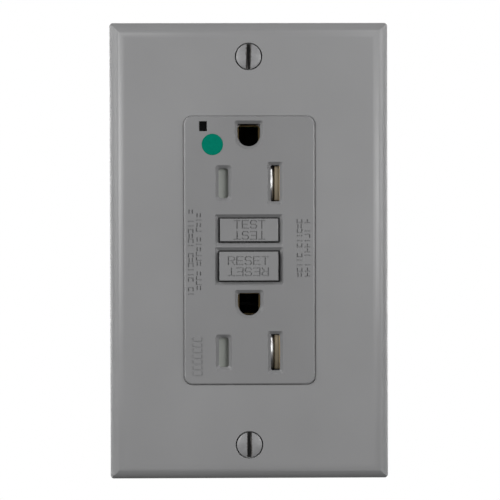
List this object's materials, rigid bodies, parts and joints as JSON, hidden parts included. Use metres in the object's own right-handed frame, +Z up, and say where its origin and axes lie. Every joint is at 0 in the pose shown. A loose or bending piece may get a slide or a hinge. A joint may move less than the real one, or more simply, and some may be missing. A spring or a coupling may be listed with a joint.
{
  "type": "ground fault receptacle",
  "caption": "Duplex ground-fault receptacle with test and reset buttons, square-cornered face and a bevelled single-gang wall plate.",
  "frame": {"origin": "on the wall surface, half way between the two screws that hold the strap to the box", "axes": "+Z up along the plate's length, +X right as seen from the room, +Y into the wall along the box screws"},
  "size_m": [0.0698, 0.0376, 0.1142],
  "materials": {
    "plate_grey": "satin thermoplastic",
    "screw_grey": "painted oval head",
    "face_grey": "satin thermoplastic",
    "button_grey": "satin thermoplastic",
    "dot_green": "printed, satin",
    "smoked_lens": "dark translucent",
    "shutter_plastic": "moulded",
    "tray_plastic": "moulded",
    "spring_steel": "drawn wire",
    "steel": "machined",
    "plated_steel": "zinc plated",
    "brass": "stamped strip",
    "silver_screw": "nickel plated",
    "green_screw": "green dip",
    "silver_point": "silver alloy",
    "fibre": "red fibre",
    "housing_plastic": "moulded polycarbonate",
    "carriage_plastic": "moulded nylon",
    "bobbin_plastic": "moulded black nylon",
    "black_steel": "black oxide",
    "copper_winding": "enamelled wire",
    "board": "solder mask",
    "lamp": "moulded epoxy",
    "varistor": "epoxy dip",
    "capacitor": "sleeved can and boxed film",
    "components": "moulded and lacquered bodies"
  },
  "bodies": {
    "device": {"box_screws": "plated_steel", "capacitors": "capacitor", "circuit_board": "board", "coil_bobbin": "bobbin_plastic", "coil_frame": "black_steel", "fixed_contact_points": "silver_point", "front_cover": "face_grey", "ground_contact_rivets": "brass", "ground_contacts": "brass", "hospital_grade_dot": "dot_green", "hot_face_contact": "brass", "housing_screws": "plated_steel", "light_pipe": "smoked_lens", "line_hot_terminal": "brass", "line_neutral_terminal": "brass", "load_hot_terminal": "brass", "load_neutral_terminal": "brass", "lower_shutter_spring": "spring_steel", "mounting_strap": "plated_steel", "neutral_face_contact": "brass", "plate_screws": "screw_grey", "plunger_spring": "spring_steel", "rear_housing": "housing_plastic", "reset_spring": "spring_steel", "screw_retainer": "fibre", "self_ground_clip": "brass", "sensing_coils": "copper_winding", "separator": "tray_plastic", "shutter_tray": "tray_plastic", "small_board_parts": "components", "status_lamp": "lamp", "surge_varistor": "varistor", "transformer_case": "bobbin_plastic", "trip_coil": "copper_winding", "upper_shutter_spring": "spring_steel", "wall_plate": "plate_grey"},
    "reset": {"reset_button": "button_grey", "reset_pin": "steel"},
    "test": {"test_button": "button_grey"},
    "test_leaf": {"test_leaf_spring": "spring_steel"},
    "upper_shutter_slider": {"upper_shutter": "shutter_plastic"},
    "lower_shutter_slider": {"lower_shutter": "shutter_plastic"},
    "carriage": {"contact_carriage": "carriage_plastic"},
    "latch": {"latch_plate": "steel"},
    "plunger": {"trip_plunger": "black_steel"},
    "hot_arm": {"hot_contact_arm": "brass", "hot_arm_points": "silver_point"},
    "neutral_arm": {"neutral_contact_arm": "brass", "neutral_arm_points": "silver_point"},
    "line_hot_screw_body": {"line_hot_screw": "brass"},
    "line_hot_clamp_body": {"line_hot_clamp": "plated_steel"},
    "line_neutral_screw_body": {"line_neutral_screw": "silver_screw"},
    "line_neutral_clamp_body": {"line_neutral_clamp": "plated_steel"},
    "load_hot_screw_body": {"load_hot_screw": "brass"},
    "load_hot_clamp_body": {"load_hot_clamp": "plated_steel"},
    "load_neutral_screw_body": {"load_neutral_screw": "silver_screw"},
    "load_neutral_clamp_body": {"load_neutral_clamp": "plated_steel"},
    "ground_screw_body": {"ground_screw": "green_screw"},
    "ground_clamp_body": {"ground_clamp": "plated_steel"}
  },
  "joints": [
    {"name": "reset_press", "type": "slide", "parent": "device", "child": "reset", "axis": [0, 1, 0], "range_m": [0, 0.0026], "stiffness_N_per_m": 900, "springref_m": -0.003, "deforming": ["reset_spring"]},
    {"name": "test_press", "type": "slide", "parent": "device", "child": "test", "axis": [0, 1, 0], "range_m": [0, 0.0014], "stiffness_N_per_m": 700, "springref_m": -0.002},
    {"name": "test_leaf_bend", "type": "hinge", "parent": "device", "child": "test_leaf", "pos_m": [-0.007, 0.00057, 0.00525], "axis": [0, 0, 1], "range_deg": [0, 10.7]},
    {"name": "upper_shutter_slide", "type": "slide", "parent": "device", "child": "upper_shutter_slider", "axis": [-1, 0, 0], "range_m": [0, 0.003], "stiffness_N_per_m": 60, "springref_m": -0.0015, "deforming": ["upper_shutter_spring"]},
    {"name": "lower_shutter_slide", "type": "slide", "parent": "device", "child": "lower_shutter_slider", "axis": [-1, 0, 0], "range_m": [0, 0.003], "stiffness_N_per_m": 60, "springref_m": -0.0015, "deforming": ["lower_shutter_spring"]},
    {"name": "carriage_lift", "type": "slide", "parent": "device", "child": "carriage", "axis": [0, -1, 0], "range_m": [0, 0.001]},
    {"name": "hot_arm_bend", "type": "hinge", "parent": "device", "child": "hot_arm", "pos_m": [-0.0132, 0.00785, 0.012], "axis": [-1, 0, 0], "range_deg": [0, 3.44]},
    {"name": "neutral_arm_bend", "type": "hinge", "parent": "device", "child": "neutral_arm", "pos_m": [0.0132, 0.00785, 0.012], "axis": [-1, 0, 0], "range_deg": [0, 3.44]},
    {"name": "plunger_pull", "type": "slide", "parent": "device", "child": "plunger", "axis": [0, 0, -1], "range_m": [0, 0.0015], "stiffness_N_per_m": 150, "springref_m": -0.001, "deforming": ["plunger_spring"]},
    {"name": "latch_slide", "type": "slide", "parent": "carriage", "child": "latch", "axis": [0, 0, -1], "range_m": [0, 0.0015]},
    {"name": "line_hot_screw_turn", "type": "hinge", "parent": "device", "child": "line_hot_screw_body", "pos_m": [-0.0182, 0.0185, 0.024], "axis": [-1, 0, 0], "range_deg": [0, 998]},
    {"name": "line_hot_clamp_open", "type": "slide", "parent": "device", "child": "line_hot_clamp_body", "axis": [1, 0, 0], "range_m": [0, 0.0022]},
    {"name": "line_neutral_screw_turn", "type": "hinge", "parent": "device", "child": "line_neutral_screw_body", "pos_m": [0.0182, 0.0185, 0.024], "axis": [1, 0, 0], "range_deg": [0, 998]},
    {"name": "line_neutral_clamp_open", "type": "slide", "parent": "device", "child": "line_neutral_clamp_body", "axis": [-1, 0, 0], "range_m": [0, 0.0022]},
    {"name": "load_hot_screw_turn", "type": "hinge", "parent": "device", "child": "load_hot_screw_body", "pos_m": [-0.0182, 0.0185, -0.024], "axis": [-1, 0, 0], "range_deg": [0, 998]},
    {"name": "load_hot_clamp_open", "type": "slide", "parent": "device", "child": "load_hot_clamp_body", "axis": [1, 0, 0], "range_m": [0, 0.0022]},
    {"name": "load_neutral_screw_turn", "type": "hinge", "parent": "device", "child": "load_neutral_screw_body", "pos_m": [0.0182, 0.0185, -0.024], "axis": [1, 0, 0], "range_deg": [0, 998]},
    {"name": "load_neutral_clamp_open", "type": "slide", "parent": "device", "child": "load_neutral_clamp_body", "axis": [-1, 0, 0], "range_m": [0, 0.0022]},
    {"name": "ground_screw_turn", "type": "hinge", "parent": "device", "child": "ground_screw_body", "pos_m": [-0.0147, 0.0044, -0.0413], "axis": [-1, 0, 0], "range_deg": [0, 907]},
    {"name": "ground_clamp_open", "type": "slide", "parent": "device", "child": "ground_clamp_body", "axis": [1, 0, 0], "range_m": [0, 0.002]}
  ],
  "couplings": [
    {"joint": "test_leaf_bend", "follows": "test_press", "rad_per_m": 133},
    {"joint": "carriage_lift", "follows": "reset_press", "ratio": 0.3845},
    {"joint": "hot_arm_bend", "follows": "reset_press", "rad_per_m": 23.05},
    {"joint": "neutral_arm_bend", "follows": "reset_press", "rad_per_m": 23.05},
    {"joint": "latch_slide", "follows": "plunger_pull", "ratio": 1},
    {"joint": "line_hot_screw_turn", "follows": "line_hot_clamp_open", "rad_per_m": 7913.4},
    {"joint": "line_neutral_screw_turn", "follows": "line_neutral_clamp_open", "rad_per_m": 7913.4},
    {"joint": "load_hot_screw_turn", "follows": "load_hot_clamp_open", "rad_per_m": 7913.4},
    {"joint": "load_neutral_screw_turn", "follows": "load_neutral_clamp_open", "rad_per_m": 7913.4},
    {"joint": "ground_screw_turn", "follows": "ground_clamp_open", "rad_per_m": 7913.4}
  ]
}
